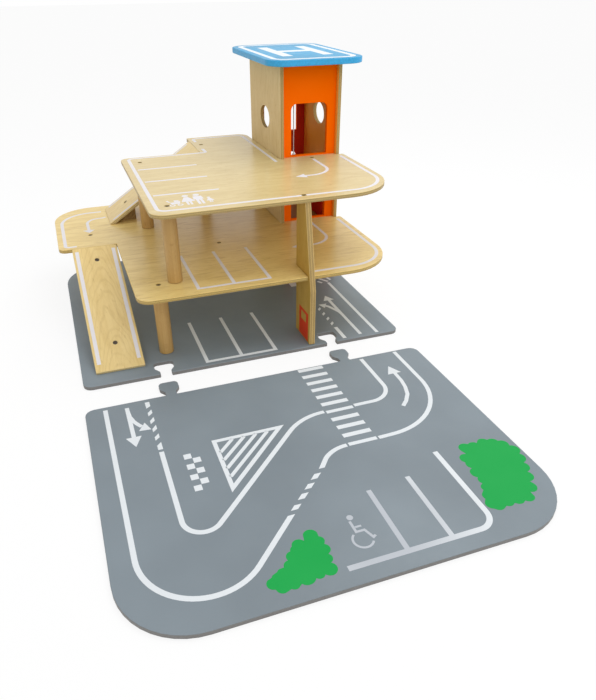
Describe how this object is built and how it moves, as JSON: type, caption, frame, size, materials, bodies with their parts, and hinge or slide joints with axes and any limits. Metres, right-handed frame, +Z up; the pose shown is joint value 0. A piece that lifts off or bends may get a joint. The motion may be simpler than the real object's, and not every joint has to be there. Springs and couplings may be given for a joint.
{
  "type": "toy parking garage",
  "caption": "Wooden play garage on a puzzle-jointed road board: two parking decks on round posts, straight ramps, and a lift tower with arched doorways, oval windows and a helipad roof.",
  "frame": {"origin": "centre of the whole toy's bounding box, on the floor under the boards", "axes": "+Z up; +Y from the front road board towards the garage and its lift tower; +X to the right seen from the front"},
  "size_m": [0.524, 0.8986, 0.3848],
  "materials": {
    "grey_painted_ply": "satin grey paint on plywood",
    "front_board_paint": "satin grey paint on plywood",
    "deck_ply": "satin varnish on birch plywood",
    "ramp_ply": "satin varnish on birch plywood",
    "wall_ply": "satin varnish on birch plywood",
    "post_wood": "satin varnish on beech dowel",
    "cleat_wood": "satin varnish on beech",
    "orange_painted_ply": "satin orange paint on plywood",
    "blue_painted_ply": "satin blue paint on plywood",
    "cage_ply": "satin varnish on birch plywood",
    "cage_orange": "satin orange paint on plywood",
    "crank_wood": "satin varnish on beech",
    "crank_orange": "satin orange paint on plywood",
    "white_cord": "braided cord",
    "white_bead": "glossy white",
    "screw_steel": "dark burnished steel"
  },
  "bodies": {
    "garage": {"rear_board": "grey_painted_ply", "lower_deck": "deck_ply", "upper_deck": "deck_ply", "lower_ramp": "ramp_ply", "upper_ramp": "ramp_ply", "tower_left_wall": "wall_ply", "tower_right_wall": "wall_ply", "pylon": "wall_ply", "lower_post_front": "post_wood", "lower_post_left": "post_wood", "upper_post_front": "post_wood", "upper_post_left": "post_wood", "upper_post_rear": "post_wood", "lower_ramp_cleat": "cleat_wood", "lower_ramp_foot_block": "cleat_wood", "upper_ramp_cleat": "cleat_wood", "upper_ramp_foot_block": "cleat_wood", "lower_deck_cleat": "cleat_wood", "upper_deck_cleat": "cleat_wood", "lower_deck_batten": "cleat_wood", "roof_cleat_left": "cleat_wood", "roof_cleat_right": "cleat_wood", "shaft_bearing_block": "cleat_wood", "tower_front_panel": "orange_painted_ply", "tower_back_panel": "orange_painted_ply", "roof": "blue_painted_ply", "lift_cord": "white_cord", "board_screw_1": "screw_steel", "board_screw_2": "screw_steel", "board_screw_3": "screw_steel", "lower_deck_screw_1": "screw_steel", "lower_deck_screw_2": "screw_steel", "upper_post_screw_1": "screw_steel", "upper_post_screw_2": "screw_steel", "upper_post_screw_3": "screw_steel", "upper_deck_screw_1": "screw_steel", "upper_deck_screw_2": "screw_steel", "upper_deck_screw_3": "screw_steel", "upper_deck_screw_4": "screw_steel", "batten_screw_1": "screw_steel", "deck_cleat_screw_1": "screw_steel", "lower_ramp_screw_1": "screw_steel", "lower_ramp_screw_2": "screw_steel", "upper_ramp_screw_1": "screw_steel"},
    "front_board": {"front_board": "front_board_paint"},
    "lift_cage": {"lift_floor": "cage_ply", "lift_left_side": "cage_orange", "lift_right_side": "cage_orange", "lift_crossbar": "cage_ply", "cord_bead": "white_bead"},
    "crank": {"winding_shaft": "crank_wood", "crank_wheel": "crank_orange", "crank_knob": "crank_wood", "cord_winding": "white_cord"}
  },
  "joints": [
    {"name": "front_board_lift", "type": "slide", "parent": "garage", "child": "front_board", "axis": [0, 0, 1], "range_m": [0, 0.06]},
    {"name": "lift_travel", "type": "slide", "parent": "garage", "child": "lift_cage", "axis": [0, 0, 1], "range_m": [-0.0975, 0.12], "deforming": ["lift_cord"]},
    {"name": "crank_turn", "type": "hinge", "parent": "garage", "child": "crank", "pos_m": [0.1728, 0.32075, 0.3485], "axis": [0, 1, 0], "range_deg": [-957, 778]}
  ],
  "couplings": [
    {"joint": "crank_turn", "follows": "lift_travel", "rad_per_m": -138.89}
  ]
}
